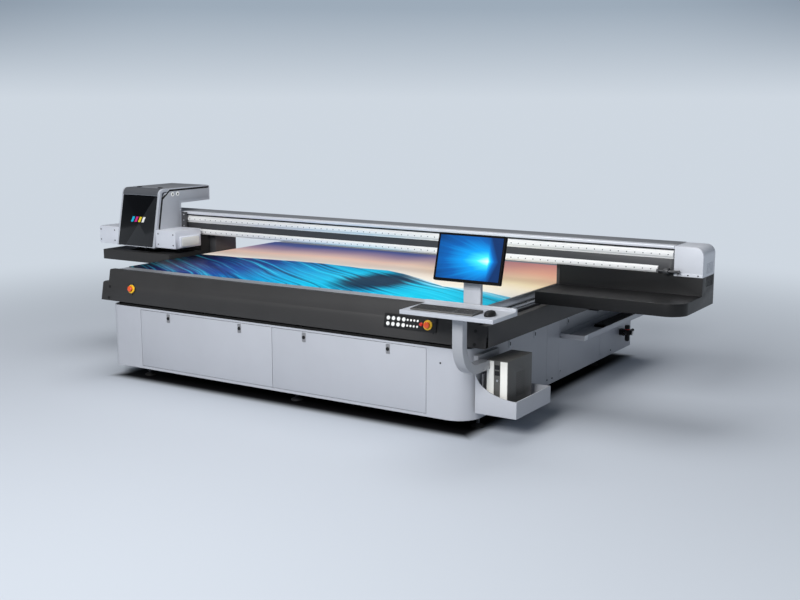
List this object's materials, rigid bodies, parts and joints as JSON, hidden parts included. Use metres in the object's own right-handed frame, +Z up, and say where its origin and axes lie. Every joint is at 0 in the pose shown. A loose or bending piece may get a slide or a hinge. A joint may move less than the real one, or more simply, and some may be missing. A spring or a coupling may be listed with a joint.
{
  "type": "flatbed uv printer",
  "caption": "Wide flatbed UV printer: cabinet on levelling feet, vacuum bed with printed board, moving gantry with print carriage, and an operator station with screen and computer.",
  "frame": {"origin": "centre of the bounding box at floor level, under the whole machine", "axes": "+X to the operator's right along the gantry beam, +Y from the operator towards the back, +Z up"},
  "size_m": [5.385, 3.332, 1.432],
  "materials": {
    "frame_steel": "dark grey powder coat on welded steel",
    "light_panel": "light blue-grey satin powder coat",
    "dark_panel": "near-black fine-textured powder coat",
    "bed_alu": "satin milled aluminium",
    "print": "cured ink on a coated board, semi-gloss",
    "rail_white": "bright ground steel",
    "rail_steel": "ground steel, lightly oiled",
    "beam_dark": "black anodised aluminium",
    "silver": "light silver-grey satin paint on aluminium",
    "gloss_black": "deep gloss black",
    "black_plastic": "fine-grained black plastic",
    "rubber": "matt black rubber",
    "button_white": "white satin plastic",
    "estop_red": "orange-red gloss plastic",
    "pc_dark": "dark grey plastic and sheet",
    "tank": "natural translucent plastic"
  },
  "bodies": {
    "base": {"base_frame": "frame_steel", "cabinet_shell": "light_panel", "front_fascia": "dark_panel", "side_skirt": "dark_panel", "bed_table": "bed_alu", "printed_board": "print", "y_rail_left": "rail_steel", "y_rail_right": "rail_steel", "foot_1": "rubber", "foot_2": "rubber", "foot_3": "rubber", "foot_4": "rubber", "control_panel": "black_plastic", "cable_trough": "light_panel", "y_drag_chain": "black_plastic", "regulator_body": "black_plastic", "vacuum_blower": "bed_alu", "electronics_box": "light_panel", "station_arm": "silver", "keyboard_tray": "silver", "keyboard": "black_plastic", "mouse": "black_plastic", "pc_shelf": "light_panel", "pc_tower": "pc_dark"},
    "gantry": {"beam": "beam_dark", "beam_cover": "silver", "x_rail_upper": "rail_white", "x_rail_lower": "rail_white", "end_cap": "silver", "platform_right": "gloss_black", "platform_left": "gloss_black", "leg_left": "beam_dark", "leg_right": "beam_dark", "capping_tray": "black_plastic"},
    "carriage": {"carriage_body": "silver", "carriage_slider": "beam_dark", "uv_lamp_right": "silver", "uv_lamp_left": "silver", "ink_tanks": "tank"},
    "cover": {"front_cover": "silver", "cover_glass": "gloss_black"},
    "head": {"print_heads": "bed_alu"},
    "door_left": {"door_left": "light_panel"},
    "door_right": {"door_right": "light_panel"},
    "monitor": {"monitor": "black_plastic"},
    "regulator_knob": {"regulator_knob": "black_plastic"},
    "estop_left": {"estop_left": "estop_red"},
    "estop_right": {"estop_right": "estop_red"},
    "latch_1": {"latch_1": "black_plastic"},
    "latch_2": {"latch_2": "black_plastic"},
    "latch_3": {"latch_3": "black_plastic"},
    "latch_4": {"latch_4": "black_plastic"},
    "button_1": {"button_1": "button_white"},
    "button_2": {"button_2": "button_white"},
    "button_3": {"button_3": "button_white"},
    "button_4": {"button_4": "button_white"},
    "button_5": {"button_5": "button_white"},
    "button_6": {"button_6": "button_white"},
    "button_7": {"button_7": "button_white"},
    "button_8": {"button_8": "button_white"}
  },
  "joints": [
    {"name": "gantry_y", "type": "slide", "parent": "base", "child": "gantry", "axis": [0, 1, 0], "range_m": [-0.72, 1.15]},
    {"name": "carriage_x", "type": "slide", "parent": "gantry", "child": "carriage", "axis": [1, 0, 0], "range_m": [0, 4.12]},
    {"name": "head_z", "type": "slide", "parent": "carriage", "child": "head", "axis": [0, 0, 1], "range_m": [-0.018, 0.08]},
    {"name": "cover_hinge", "type": "hinge", "parent": "carriage", "child": "cover", "pos_m": [-2.2225, -0.311, 1.432], "axis": [-1, 0, 0], "range_deg": [0, 80]},
    {"name": "door_left_hinge", "type": "hinge", "parent": "base", "child": "door_left", "pos_m": [-0.7475, -1.276, 0.123], "axis": [1, 0, 0], "range_deg": [0, 90]},
    {"name": "door_right_hinge", "type": "hinge", "parent": "base", "child": "door_right", "pos_m": [0.5625, -1.276, 0.123], "axis": [1, 0, 0], "range_deg": [0, 90]},
    {"name": "latch_1_turn", "type": "hinge", "parent": "door_left", "child": "latch_1", "pos_m": [-1.1095, -1.276, 0.53], "axis": [0, -1, 0], "range_deg": [0, 90]},
    {"name": "latch_2_turn", "type": "hinge", "parent": "door_left", "child": "latch_2", "pos_m": [-0.3975, -1.276, 0.53], "axis": [0, -1, 0], "range_deg": [0, 90]},
    {"name": "latch_3_turn", "type": "hinge", "parent": "door_right", "child": "latch_3", "pos_m": [0.1995, -1.276, 0.53], "axis": [0, -1, 0], "range_deg": [0, 90]},
    {"name": "latch_4_turn", "type": "hinge", "parent": "door_right", "child": "latch_4", "pos_m": [0.9135, -1.276, 0.53], "axis": [0, -1, 0], "range_deg": [0, 90]},
    {"name": "button_1_press", "type": "slide", "parent": "base", "child": "button_1", "axis": [0, 0.9818, -0.19], "range_m": [0, 0.0035], "stiffness_N_per_m": 300},
    {"name": "button_2_press", "type": "slide", "parent": "base", "child": "button_2", "axis": [0, 0.9818, -0.19], "range_m": [0, 0.0035], "stiffness_N_per_m": 300},
    {"name": "button_3_press", "type": "slide", "parent": "base", "child": "button_3", "axis": [0, 0.9818, -0.19], "range_m": [0, 0.0035], "stiffness_N_per_m": 300},
    {"name": "button_4_press", "type": "slide", "parent": "base", "child": "button_4", "axis": [0, 0.9818, -0.19], "range_m": [0, 0.0035], "stiffness_N_per_m": 300},
    {"name": "button_5_press", "type": "slide", "parent": "base", "child": "button_5", "axis": [0, 0.9818, -0.19], "range_m": [0, 0.0035], "stiffness_N_per_m": 300},
    {"name": "button_6_press", "type": "slide", "parent": "base", "child": "button_6", "axis": [0, 0.9818, -0.19], "range_m": [0, 0.0035], "stiffness_N_per_m": 300},
    {"name": "button_7_press", "type": "slide", "parent": "base", "child": "button_7", "axis": [0, 0.9818, -0.19], "range_m": [0, 0.0035], "stiffness_N_per_m": 300},
    {"name": "button_8_press", "type": "slide", "parent": "base", "child": "button_8", "axis": [0, 0.9818, -0.19], "range_m": [0, 0.0035], "stiffness_N_per_m": 300},
    {"name": "estop_left_press", "type": "slide", "parent": "base", "child": "estop_left", "axis": [0, 0.9818, -0.19], "range_m": [0, 0.006], "stiffness_N_per_m": 800},
    {"name": "estop_right_press", "type": "slide", "parent": "base", "child": "estop_right", "axis": [0, 0.9818, -0.19], "range_m": [0, 0.006], "stiffness_N_per_m": 800},
    {"name": "monitor_tilt", "type": "hinge", "parent": "base", "child": "monitor", "pos_m": [1.5895, -1.334, 1.19], "axis": [-1, 0, 0], "range_deg": [-15, 5]},
    {"name": "regulator_turn", "type": "hinge", "parent": "base", "child": "regulator_knob", "pos_m": [1.6075, 1.374, 0.3], "axis": [0, 0, 1], "range_deg": [-150, 150]}
  ]
}
